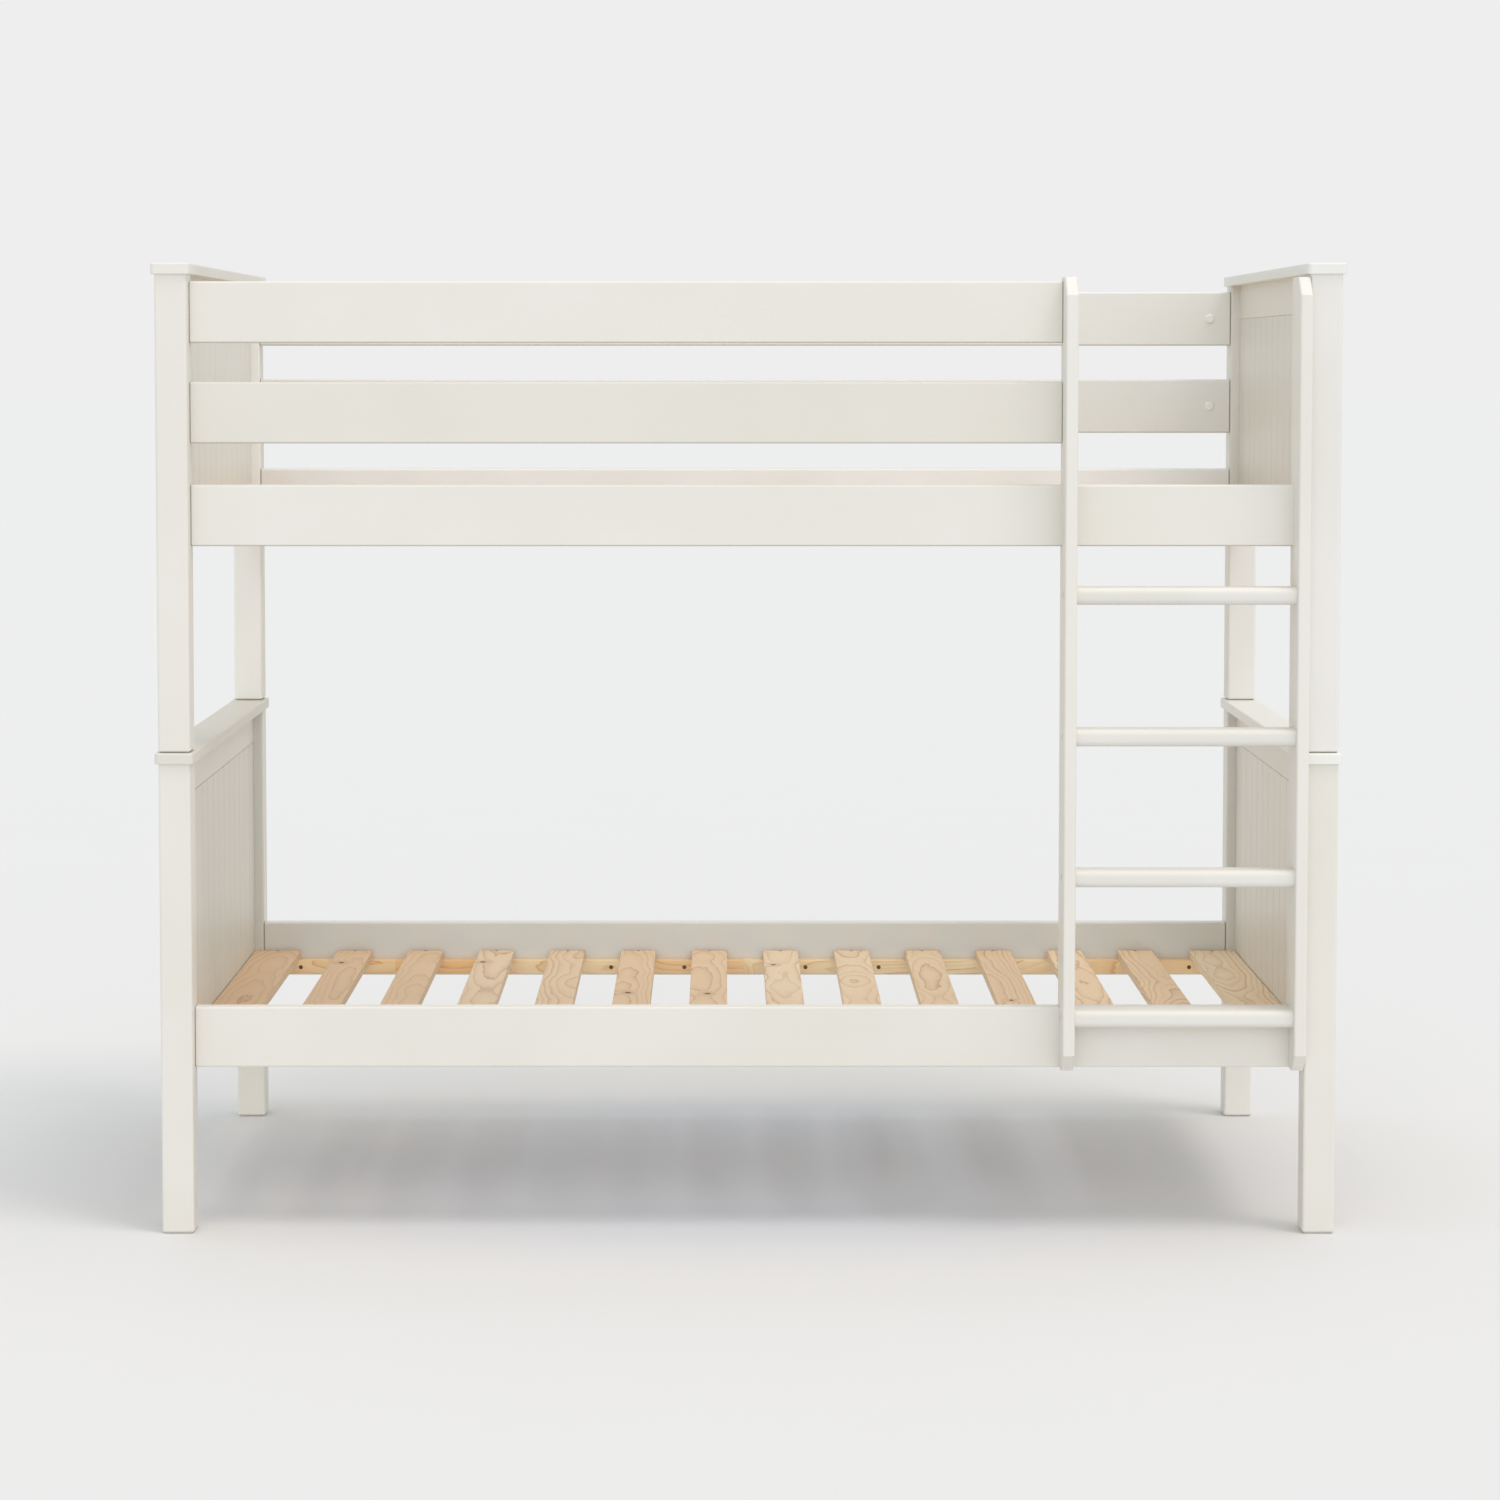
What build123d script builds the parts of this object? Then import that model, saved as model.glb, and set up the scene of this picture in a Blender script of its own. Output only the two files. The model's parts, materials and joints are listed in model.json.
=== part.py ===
from build123d import *
import os

# A bunk bed: two stacking single beds of painted wood with slatted bases, guard rails round the
# upper one and a fixed ladder at the right of its front. The upper bed stands on four steel pins
# in the tops of the lower posts, and lifts off them.
# X runs along the bed, Y across it with the ladder at the front (-Y), and Z up from the floor.

# Driving dimensions, in millimetres
mattress_length = 1900.0
mattress_width = 900.0
mattress_play = 10.0             # room left round the mattress, each way
post_side = 55.0
cap_thickness = 19.0
cap_overhang = 6.0
lower_post_top = 813.0
upper_post_top = 1649.0
rail_height = 105.0
rail_thickness = 27.0
side_rail_bottom = {"lower": 284.0, "upper": 1185.0}
guard_rail_bottoms = {"middle": 1361.0, "top": 1532.5}
panel_thickness = 18.0
top_rail_height = 65.0
bottom_rail_height = 45.0
board_count = 13
slat_count = 12                  # between the two wide ones at the ends
slat_pitch = 140.7
slat_width = 69.0
end_slat_width = 90.0
end_slat_x = 927.0               # from the bed's middle to the middle of a wide slat
slat_thickness = 17.0
batten_height = 28.0
batten_thickness = 22.0
batten_rise = 5.0                # from the rail's lower edge to the batten's
ladder_stile_thickness = 21.0
ladder_stile_depth = 88.0
ladder_left = 537.0              # left face of the left stile
ladder_right = 954.0             # right face of the right stile, just clear of the posts
ladder_top = 1644.0
tread_count = 4
tread_pitch = 242.0
first_tread_height = 376.0       # middle of the lowest tread
tread_thickness = 30.0
tread_depth = 49.0

# Edge roundings and chamfers
post_round = 4.5
foot_chamfer = 4.0
cap_corner = 8.0
cap_round = 3.0
rail_round = 3.5
rail_end_chamfer = 1.6
board_vee = 1.5
slat_round = 1.5
stile_round = 3.5
stile_nose = 31.0                # the sloping cut at each end of a stile's front
tread_round = 9.5

# Hardware
bolt_radius = 3.0
bolt_length = 100.0
bolt_head_radius = 7.5
bolt_head_height = 2.5
hex_radius = 2.3
hex_depth = 1.8
nut_radius = 5.0
nut_length = 12.0
nut_inset = 41.0                 # from the rail's end to the barrel nut
cover_radius = 9.0
cover_height = 3.5
cover_plug = 5.0
dowel_radius = 4.0
rail_dowel_length = 50.0
rail_dowel_in_post = 20.0
rail_dowel_spread = 32.0         # above and below the rail's middle
panel_dowel_length = 40.0
cap_dowel_length = 32.0
cap_dowel_in_cap = 12.0
cap_dowel_spread = 220.0
pin_radius = 5.0
pin_in_lower_post = 40.0
pin_length = 100.0
screw_radius = 3.0
screw_head_radius = 5.75
screw_head_height = 3.0
screw_recess = 1.0
screw_seat = screw_head_height + screw_recess
screw_length = 60.0
thin_screw_radius = 2.0
thin_screw_head = 4.0
thin_screw_length = 38.0
slat_screw_radius = 1.75
slat_screw_head = 3.5
slat_screw_length = 30.0
batten_screw_spots = (120.0, 265.0, 655.0, 880.0)    # out from the middle, each way

# Clearances
fit = 0.05                       # radial, round a fastener in its hole
bolt_play = 0.3                  # radial, round a bolt in its clearance hole
pin_play = 0.5                   # radial, where the upper posts lift off the pins
hole_end = 1.0                   # a blind hole is this much deeper than what is in it
stand_off = 1.0                  # between the ladder's foot and the lower bed
board_gap = 0.4

# Worked-out dimensions. The model's origin is at the middle of its footprint, ladder included.
rail_length = mattress_length + mattress_play
inner_width = mattress_width + mattress_play
post_inner_x = rail_length / 2
post_inner_y = inner_width / 2
post_x = post_inner_x + post_side / 2
post_y = post_inner_y + post_side / 2
rail_y = post_inner_y + rail_thickness / 2
rail_front = post_inner_y + rail_thickness
post_outer_y = post_inner_y + post_side
ladder_front = post_inner_y + ladder_stile_depth
mid_y = (ladder_front - post_outer_y - cap_overhang) / 2
upper_post_bottom = lower_post_top + cap_thickness
batten_length = rail_length - mattress_play
slat_length = mattress_width
batten_y = post_inner_y - batten_thickness / 2
slat_screw_y = batten_y
tread_back = rail_front + stand_off
tread_y = tread_back + tread_depth / 2
screw_past_stile = screw_length + screw_seat - ladder_stile_thickness + hole_end
stile_inner_left = ladder_left + ladder_stile_thickness
stile_inner_right = ladder_right - ladder_stile_thickness
tread_heights = [first_tread_height + tread_pitch * i for i in range(tread_count)]
stile_middles = [ladder_left + ladder_stile_thickness / 2, ladder_right - ladder_stile_thickness / 2]
batten_bottom = {level: bottom + batten_rise for level, bottom in side_rail_bottom.items()}

levels = ("lower", "upper")
sides = {"left": -1, "right": 1}
faces = {"front": -1, "back": 1}
post_span = {"lower": (0.0, lower_post_top), "upper": (upper_post_bottom, upper_post_top)}

os.makedirs("parts", exist_ok=True)


def finish(piece, name):
    """Labels a finished piece and writes it as a node."""
    piece.part.label = name
    export_step(piece.part, f"parts/{name}.step")


def across(y):
    """A place across the bed, from the bed's own middle line to the model's frame."""
    return mid_y + y


def spot(x, y, z, direction, x_dir=None):
    """A plane at a point, looking along direction. y is measured from the bed's middle line."""
    return Plane(origin=(x, across(y), z), z_dir=direction, x_dir=x_dir)


def drill(places, radius, depth):
    """Blind holes sunk below each place, against its direction."""
    if places:
        with Locations(*places):
            Hole(radius, depth)


def scatter(name, single, places):
    """A group of like pieces, each a solid of its own."""
    with BuildPart() as group:
        with Locations(*places):
            add(single.part)
    finish(group, name)


# Where things meet

def rail_ends(level):
    """Each end where a rail meets a post: (side, face, height of the rail's middle, rail's kind)."""
    ends = []
    for side in sides.values():
        for face in faces.values():
            ends.append((side, face, side_rail_bottom[level] + rail_height / 2, "side"))
            at_ladder = side == sides["right"] and face == faces["front"]
            if level == "upper" and not at_ladder:
                for bottom in guard_rail_bottoms.values():
                    ends.append((side, face, bottom + rail_height / 2, "guard"))
    return ends


def panel_rail_heights(level):
    """The middles of an end panel's bottom and top rails, and the spread of their dowels."""
    bottom = side_rail_bottom[level] + bottom_rail_height / 2
    top = post_span[level][1] - top_rail_height / 2
    return [(bottom, 12.0), (top, 18.0)]


def panel_dowel_places(level, face):
    """Dowel holes in an end panel's rails where they meet the posts, on the right-hand panel."""
    return [
        (post_x, face * post_inner_y, middle + step * spread)
        for middle, spread in panel_rail_heights(level)
        for step in (-1, 1)
    ]


def ladder_screw_heights():
    """Two screws through the upper side rail into each stile."""
    top = side_rail_bottom["upper"] + rail_height
    return [top - 36.0, top - 8.0]


def guard_screw_heights():
    """Two screws through the left stile into each front guard rail."""
    return [b + rail_height / 2 + s for b in guard_rail_bottoms.values() for s in (-25.0, 25.0)]


def batten_screw_places():
    return [side * x for side in sides.values() for x in batten_screw_spots]


def slat_places():
    """The middles of the narrow slats and of the wide ones at the two ends."""
    half = (slat_count - 1) / 2
    narrow = [slat_pitch * (i - half) for i in range(slat_count)]
    return narrow, [-end_slat_x, end_slat_x]


def slat_screw_places():
    narrow, wide = slat_places()
    return narrow + wide



# Posts and caps

def make_post(level, side_name, face_name):
    """A square post with rounded edges, drilled for its rails' bolts and dowels."""
    side, face = sides[side_name], faces[face_name]
    bottom, top = post_span[level]
    ends = [e for e in rail_ends(level) if e[0] == side and e[1] == face]
    outer, inner = post_inner_x + post_side, post_inner_x
    with BuildPart() as post:
        with BuildSketch(Plane.XY.offset(bottom)):
            with Locations((side * post_x, across(face * post_y))):
                RectangleRounded(post_side, post_side, post_round)
        extrude(amount=top - bottom)
        chamfer(post.faces().sort_by(Axis.Z)[0].edges(), foot_chamfer)
        bolts = [spot(side * outer, face * rail_y, z, (side, 0, 0)) for _, _, z, _ in ends]
        drill(bolts, bolt_radius + bolt_play, post_side)
        dowels = [
            spot(side * inner, face * rail_y, z + step * rail_dowel_spread, (-side, 0, 0))
            for _, _, z, _ in ends
            for step in (-1, 1)
        ]
        drill(dowels, dowel_radius + fit, rail_dowel_in_post + hole_end)
        panels = [
            spot(side * x, y, z, (0, -face, 0)) for x, y, z in panel_dowel_places(level, face)
        ]
        drill(panels, dowel_radius + fit, panel_dowel_length / 2 + hole_end)
        axis_x, axis_y = side * post_x, face * post_y
        if level == "lower":
            pin_hole = spot(axis_x, axis_y, top, (0, 0, 1))
            drill([pin_hole], pin_radius + fit, pin_in_lower_post + hole_end)
        else:
            pin_above = pin_length - pin_in_lower_post - cap_thickness
            pin_hole = spot(axis_x, axis_y, bottom, (0, 0, -1))
            drill([pin_hole], pin_radius + pin_play, pin_above + 2 * hole_end)
            dowel_hole = spot(axis_x, axis_y, top, (0, 0, 1))
            drill([dowel_hole], dowel_radius + fit, cap_dowel_length - cap_dowel_in_cap + hole_end)
    finish(post, f"{level}_{face_name}_{side_name}_post")


def make_cap(level, side_name):
    """The board along the top of an end, over both posts. The lower right one is cut away at the
    front of its inner edge, where the ladder's stile passes down beside the post."""
    side = sides[side_name]
    bottom = post_span[level][1]
    width = post_side + 2 * cap_overhang
    length = 2 * (post_outer_y + cap_overhang)
    with BuildPart() as cap:
        with BuildSketch(Plane.XY.offset(bottom)):
            with Locations((side * post_x, across(0))):
                RectangleRounded(width, length, cap_corner)
        extrude(amount=cap_thickness)
        fillet(cap.faces().sort_by(Axis.Z)[-1].edges(), cap_round)
        fillet(cap.faces().sort_by(Axis.Z)[0].edges(), cap_round / 2)
        if level == "lower" and side_name == "right":
            with BuildSketch(Plane.XY.offset(bottom)):
                with Locations((post_inner_x - cap_overhang, across(-ladder_front))):
                    Rectangle(2 * cap_overhang, 2 * (ladder_stile_depth + stand_off))
            extrude(amount=cap_thickness, mode=Mode.SUBTRACT)
        rail_dowels = [spot(side * post_x, s * cap_dowel_spread, bottom, (0, 0, -1)) for s in (-1, 1)]
        drill(rail_dowels, dowel_radius + fit, cap_dowel_in_cap + hole_end)
        over_posts = [spot(side * post_x, f * post_y, bottom, (0, 0, -1)) for f in faces.values()]
        if level == "lower":
            drill(over_posts, pin_radius + fit, 2 * cap_thickness)
        else:
            drill(over_posts, dowel_radius + fit, cap_dowel_in_cap + hole_end)
    finish(cap, f"{level}_{side_name}_cap")


# End panels

def make_panel_rail(level, side_name, kind):
    """A flat rail between the two posts of an end, at the top or the bottom of its panel."""
    side = sides[side_name]
    bottom, top = post_span[level]
    if kind == "top":
        low, high = top - top_rail_height, top
        heights = panel_rail_heights(level)[1]
    else:
        low = side_rail_bottom[level]
        high = low + bottom_rail_height
        heights = panel_rail_heights(level)[0]
    with BuildPart() as rail:
        with BuildSketch(Plane.XY.offset(low)):
            with Locations((side * post_x, across(0))):
                Rectangle(panel_thickness, inner_width)
        extrude(amount=high - low)
        meeting = rail.faces().sort_by(Axis.Z)[0 if kind == "top" else -1]
        chamfer(meeting.edges().filter_by(Axis.Y), board_vee)
        middle, spread = heights
        ends = [
            spot(side * post_x, face * post_inner_y, middle + s * spread, (0, face, 0))
            for face in faces.values()
            for s in (-1, 1)
        ]
        drill(ends, dowel_radius + fit, panel_dowel_length / 2 + hole_end)
        if kind == "top":
            up = [spot(side * post_x, s * cap_dowel_spread, top, (0, 0, 1)) for s in (-1, 1)]
            drill(up, dowel_radius + fit, cap_dowel_length - cap_dowel_in_cap + hole_end)
    finish(rail, f"{level}_{side_name}_panel_{kind}_rail")


def board_outline(index):
    """The plan of one tongued and grooved board, in (thickness, width). Its edges have a small
    V on both faces; the first board has no groove and the last no tongue, where they meet posts."""
    width = inner_width / board_count
    low = -inner_width / 2 + width * index
    start = low if index == 0 else low + board_gap / 2
    end = low + width if index == board_count - 1 else low + width - board_gap / 2
    half = panel_thickness / 2
    tongue, tongue_half, tongue_fit = 6.0, 2.5, 0.3
    right = [(half, start + board_vee), (half, end - board_vee), (half - board_vee, end)]
    if index < board_count - 1:
        right += [(tongue_half, end), (tongue_half, end + tongue)]
    left = [(-x, y) for x, y in reversed(right)]
    groove = []
    if index > 0:
        gap_half = tongue_half + tongue_fit
        depth = start + tongue + 2 * tongue_fit
        groove = [(-gap_half, start), (-gap_half, depth), (gap_half, depth), (gap_half, start)]
    return right + left + [(-half + board_vee, start)] + groove + [(half - board_vee, start)]


def make_boards(level, side_name):
    """The upright tongued and grooved boards that fill an end between its panel rails."""
    side = sides[side_name]
    low = side_rail_bottom[level] + bottom_rail_height
    high = post_span[level][1] - top_rail_height
    with BuildPart() as boards:
        for index in range(board_count):
            with BuildSketch(Plane(origin=(side * post_x, across(0), low))):
                with BuildLine():
                    Polyline(*board_outline(index), close=True)
                make_face()
            extrude(amount=high - low)
    finish(boards, f"{level}_{side_name}_panel_boards")


# Rails, battens and slats

def rail_blank(start, end, face, bottom):
    """A long rail's rounded section, run from start to end."""
    middle = bottom + rail_height / 2
    with BuildSketch(spot(start, face * rail_y, middle, (1, 0, 0), (0, 1, 0))) as section:
        RectangleRounded(rail_thickness, rail_height, rail_round)
    extrude(section.sketch, amount=end - start)


def drill_rail_end(side, face, middle, kind):
    """The bolt, dowel and barrel-nut holes in one end of a rail, at a post."""
    end = side * post_inner_x
    drill([spot(end, face * rail_y, middle, (side, 0, 0))],
          bolt_radius + bolt_play, bolt_length - post_side + hole_end)
    dowels = [spot(end, face * rail_y, middle + s * rail_dowel_spread, (side, 0, 0)) for s in (-1, 1)]
    drill(dowels, dowel_radius + fit, rail_dowel_length - rail_dowel_in_post + hole_end)
    nut_x = end - side * nut_inset
    if kind == "side":
        mouth = spot(nut_x, face * rail_y, middle - rail_height / 2, (0, 0, -1))
        depth = rail_height / 2 + nut_length / 2 + hole_end
    else:
        mouth = spot(nut_x, face * post_inner_y, middle, (0, -face, 0))
        depth = (rail_thickness + nut_length) / 2 + hole_end
    drill([mouth], nut_radius + fit, depth)


def make_side_rail(level, face_name):
    """A side rail between the posts, with pilot holes for its batten's screws."""
    face = faces[face_name]
    bottom = side_rail_bottom[level]
    with BuildPart() as rail:
        rail_blank(-post_inner_x, post_inner_x, face, bottom)
        chamfer(rail.faces().filter_by(Axis.X).edges(), rail_end_chamfer)
        for side, end_face, middle, kind in rail_ends(level):
            if end_face == face and kind == "side":
                drill_rail_end(side, face, middle, kind)
        pilots = [
            spot(x, face * post_inner_y, batten_bottom[level] + batten_height / 2, (0, -face, 0))
            for x in batten_screw_places()
        ]
        drill(pilots, thin_screw_radius + fit, thin_screw_length - batten_thickness + hole_end)
        if level == "upper" and face_name == "front":
            places = [
                spot(x, -post_inner_y, z, (0, 1, 0))
                for x in stile_middles for z in ladder_screw_heights()
            ]
            with Locations(*places):
                CounterBoreHole(screw_radius + bolt_play, screw_head_radius + bolt_play,
                                screw_seat, rail_thickness)
    finish(rail, f"{level}_{face_name}_side_rail")


def make_guard_rail(face_name, row):
    """A guard rail of the upper bed. The front ones stop at the ladder's left stile."""
    face = faces[face_name]
    bottom = guard_rail_bottoms[row]
    middle = bottom + rail_height / 2
    to_ladder = face_name == "front"
    with BuildPart() as rail:
        rail_blank(-post_inner_x, ladder_left if to_ladder else post_inner_x, face, bottom)
        chamfer(rail.faces().filter_by(Axis.X).edges(), rail_end_chamfer)
        for side, end_face, height, kind in rail_ends("upper"):
            if end_face == face and height == middle:
                drill_rail_end(side, face, middle, kind)
        if to_ladder:
            screws = [
                spot(ladder_left, -rail_y, z, (1, 0, 0))
                for z in guard_screw_heights() if bottom < z < bottom + rail_height
            ]
            drill(screws, screw_radius + fit, screw_past_stile)
    finish(rail, f"{face_name}_{row}_guard_rail")


def make_batten(level, face_name):
    """The ledge along the foot of a side rail that carries the slats' ends."""
    face = faces[face_name]
    bottom = batten_bottom[level]
    with BuildPart() as batten:
        with BuildSketch(Plane(origin=(0, across(face * batten_y), bottom))):
            Rectangle(batten_length, batten_thickness)
        extrude(amount=batten_height)
        fillet(batten.edges().filter_by(Axis.X), slat_round)
        rows = [
            spot(x, face * (post_inner_y - batten_thickness), bottom + batten_height / 2, (0, -face, 0))
            for x in batten_screw_places()
        ]
        with Locations(*rows):
            CounterSinkHole(thin_screw_radius + fit, thin_screw_head + fit, batten_thickness)
        pilots = [
            spot(x, face * slat_screw_y, bottom + batten_height, (0, 0, 1))
            for x in slat_screw_places()
        ]
        drill(pilots, slat_screw_radius + fit, slat_screw_length - slat_thickness + hole_end)
    finish(batten, f"{level}_{face_name}_batten")


def make_slats(level):
    """The slats of one bed, each a board of its own, screwed down at both ends."""
    bottom = batten_bottom[level] + batten_height
    narrow, wide = slat_places()
    with BuildPart() as slats:
        with BuildSketch(Plane(origin=(0, across(0), bottom))):
            with Locations(*[(x, 0) for x in narrow]):
                Rectangle(slat_width, slat_length)
            with Locations(*[(x, 0) for x in wide]):
                Rectangle(end_slat_width, slat_length)
        extrude(amount=slat_thickness)
        fillet(slats.edges().filter_by(Axis.Y), slat_round)
        heads = [
            spot(x, face * slat_screw_y, bottom + slat_thickness, (0, 0, 1))
            for x in slat_screw_places() for face in faces.values()
        ]
        with Locations(*heads):
            CounterSinkHole(slat_screw_radius + fit, slat_screw_head + fit, slat_thickness)
    finish(slats, f"{level}_slats")


# Ladder

def make_stile(side_name):
    """An upright of the ladder, seen from its side: sloping noses at the front of both ends, a
    notch round the upper side rail, and its foot cut back to stand in front of the lower one."""
    left = ladder_left if side_name == "left" else stile_inner_right
    foot = side_rail_bottom["lower"]
    shoulder = foot + rail_height + stand_off
    notch_low = side_rail_bottom["upper"]
    notch_high = notch_low + rail_height
    front, back = -ladder_front, -post_inner_y
    outline = [
        (front, foot + stile_nose), (front, ladder_top - stile_nose),
        (front + stile_nose, ladder_top), (back, ladder_top),
        (back, notch_high), (-rail_front, notch_high),
        (-rail_front, notch_low), (back, notch_low),
        (back, shoulder), (-rail_front - stand_off / 2, shoulder),
        (-rail_front - stand_off / 2, foot), (front + stile_nose, foot),
    ]
    with BuildPart() as stile:
        with BuildSketch(Plane(origin=(left, across(0), 0), x_dir=(0, 1, 0), z_dir=(1, 0, 0))):
            with BuildLine():
                Polyline(*outline, close=True)
            make_face()
        extrude(amount=ladder_stile_thickness)
        front_y = across(-ladder_front)
        nose_edges = stile.edges().filter_by_position(
            Axis.Y, front_y - 1, front_y + stile_nose - 1).filter_by(GeomType.LINE)
        fillet(nose_edges.filter_by(Axis.X, reverse=True), stile_round)
        outward = -1 if side_name == "left" else 1
        outer = ladder_left if side_name == "left" else ladder_right
        treads = [spot(outer, -tread_y, z, (outward, 0, 0)) for z in tread_heights]
        with Locations(*treads):
            CounterBoreHole(screw_radius + bolt_play, screw_head_radius + bolt_play,
                            screw_seat, ladder_stile_thickness)
        middle = left + ladder_stile_thickness / 2
        to_rail = [spot(middle, -rail_front, z, (0, 1, 0)) for z in ladder_screw_heights()]
        drill(to_rail, screw_radius + fit, screw_length + screw_seat - rail_thickness + hole_end)
        if side_name == "left":
            guards = [spot(stile_inner_left, -rail_y, z, (1, 0, 0)) for z in guard_screw_heights()]
            with Locations(*guards):
                CounterBoreHole(screw_radius + bolt_play, screw_head_radius + bolt_play,
                                screw_seat, ladder_stile_thickness)
    finish(stile, f"ladder_{side_name}_stile")


def make_tread(number, height):
    """A flat ladder tread with well-rounded edges, held by a screw at each end."""
    length = stile_inner_right - stile_inner_left
    with BuildPart() as tread:
        with BuildSketch(Plane(origin=(stile_inner_left, across(-tread_y), height),
                               x_dir=(0, 1, 0), z_dir=(1, 0, 0))):
            RectangleRounded(tread_depth, tread_thickness, tread_round)
        extrude(amount=length)
        ends = [
            spot(stile_inner_left, -tread_y, height, (-1, 0, 0)),
            spot(stile_inner_right, -tread_y, height, (1, 0, 0)),
        ]
        drill(ends, screw_radius + fit, screw_past_stile)
    finish(tread, f"ladder_tread_{number}")


# Hardware. Each piece is made once, standing on the plane of the surface that it goes into, and
# then set at each of its places.

def headed_screw(head_radius, head_height, radius, length, top, crown):
    """A screw with a low round head, its top at height top, and a hexagonal socket."""
    with BuildPart() as screw:
        with BuildSketch(Plane.XY.offset(top - head_height)):
            Circle(head_radius)
        extrude(amount=head_height)
        fillet(screw.faces().sort_by(Axis.Z)[-1].edges(), crown)
        with BuildSketch(Plane.XY.offset(top - head_height - length)):
            Circle(radius)
        extrude(amount=length)
        with BuildSketch(Plane.XY.offset(top)):
            RegularPolygon(hex_radius, 6)
        extrude(amount=-hex_depth, mode=Mode.SUBTRACT)
    return screw


def countersunk_screw(head_radius, radius, length):
    """A thin screw, its head flush with the surface, with a cross-shaped recess."""
    sink = head_radius - radius
    arm, width, depth = head_radius * 1.1, head_radius * 0.24, head_radius * 0.35
    with BuildPart() as screw:
        with BuildSketch(Plane.XZ):
            with BuildLine():
                Polyline((0, 0), (head_radius, 0), (radius, -sink), (radius, radius - length),
                         (0, -length), close=True)
            make_face()
        revolve(axis=Axis.Z)
        with BuildSketch(Plane.XY):
            Rectangle(arm, width)
            Rectangle(width, arm)
        extrude(amount=-depth, mode=Mode.SUBTRACT)
    return screw


def barrel_nut():
    """A steel barrel with a cross hole for its bolt and a slot to turn it by."""
    with BuildPart() as nut:
        Cylinder(nut_radius, nut_length)
        fillet(nut.edges().filter_by(GeomType.CIRCLE), 0.6)
        with Locations(Plane(origin=(nut_radius, 0, 0), z_dir=(1, 0, 0))):
            Hole(bolt_radius + fit)
        with BuildSketch(Plane.XY.offset(nut_length / 2)):
            Rectangle(2 * nut_radius, 1.2)
        extrude(amount=-1.5, mode=Mode.SUBTRACT)
    return nut


def cover():
    """A domed plastic cover that plugs the barrel nut's hole."""
    with BuildPart() as dome:
        Cylinder(cover_radius, cover_height, align=(Align.CENTER, Align.CENTER, Align.MIN))
        fillet(dome.edges().sort_by(Axis.Z)[-1], cover_height - 1)
        Cylinder(nut_radius - fit, cover_plug, align=(Align.CENTER, Align.CENTER, Align.MAX))
    return dome


def dowel(length):
    """A beech dowel with its ends' edges taken off."""
    with BuildPart() as peg:
        Cylinder(dowel_radius, length, align=(Align.CENTER, Align.CENTER, Align.MAX))
        chamfer(peg.edges().filter_by(GeomType.CIRCLE), 0.8)
    return peg


def stacking_pin():
    with BuildPart() as pin:
        Cylinder(pin_radius, pin_length, align=(Align.CENTER, Align.CENTER, Align.MIN))
        chamfer(pin.edges().filter_by(GeomType.CIRCLE), 1.5)
    return pin


def make_rail_hardware(level):
    """The bolts through the posts and the barrel nuts in the rails' ends."""
    outer = post_inner_x + post_side
    ends = rail_ends(level)
    bolt = headed_screw(bolt_head_radius, bolt_head_height, bolt_radius, bolt_length,
                        bolt_head_height, 1.2)
    scatter(f"{level}_rail_bolts", bolt,
            [spot(s * outer, f * rail_y, z, (s, 0, 0)) for s, f, z, _ in ends])
    nut_x = post_inner_x - nut_inset
    axis = {"side": lambda f: (0, 0, -1), "guard": lambda f: (0, -f, 0)}
    scatter(f"{level}_barrel_nuts", barrel_nut(),
            [spot(s * nut_x, f * rail_y, z, axis[kind](f), (1, 0, 0)) for s, f, z, kind in ends])
    if level == "upper":
        scatter("nut_covers", cover(),
                [spot(s * nut_x, f * post_inner_y, z, (0, -f, 0))
                 for s, f, z, kind in ends if kind == "guard"])


def make_dowels(level):
    """Every wooden dowel of one bed: rails to posts, panel rails to posts, and under the caps."""
    rail_peg, panel_peg, cap_peg = (
        dowel(rail_dowel_length), dowel(panel_dowel_length), dowel(cap_dowel_length))
    rail_start = post_inner_x + rail_dowel_in_post
    rail_places = [
        spot(s * rail_start, f * rail_y, z + step * rail_dowel_spread, (s, 0, 0))
        for s, f, z, _ in rail_ends(level) for step in (-1, 1)
    ]
    panel_places = [
        spot(s * x, y + f * panel_dowel_length / 2, z, (0, f, 0))
        for s in sides.values() for f in faces.values() for x, y, z in panel_dowel_places(level, f)
    ]
    cap_top = post_span[level][1] + cap_dowel_in_cap
    cap_places = [
        spot(s * post_x, step * cap_dowel_spread, cap_top, (0, 0, 1))
        for s in sides.values() for step in (-1, 1)
    ]
    if level == "upper":
        cap_places += [
            spot(s * post_x, f * post_y, cap_top, (0, 0, 1))
            for s in sides.values() for f in faces.values()
        ]
    with BuildPart() as dowels:
        with Locations(*rail_places):
            add(rail_peg.part)
        with Locations(*panel_places):
            add(panel_peg.part)
        with Locations(*cap_places):
            add(cap_peg.part)
    finish(dowels, f"{level}_dowels")


def make_base_screws(level):
    """The screws that hold the battens to the rails and the slats to the battens."""
    bottom = batten_bottom[level]
    batten_screw = countersunk_screw(thin_screw_head, thin_screw_radius, thin_screw_length)
    scatter(f"{level}_batten_screws", batten_screw,
            [spot(x, f * (post_inner_y - batten_thickness), bottom + batten_height / 2, (0, -f, 0))
             for x in batten_screw_places() for f in faces.values()])
    slat_screw = countersunk_screw(slat_screw_head, slat_screw_radius, slat_screw_length)
    scatter(f"{level}_slat_screws", slat_screw,
            [spot(x, f * slat_screw_y, bottom + batten_height + slat_thickness, (0, 0, 1))
             for x in slat_screw_places() for f in faces.values()])


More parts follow.
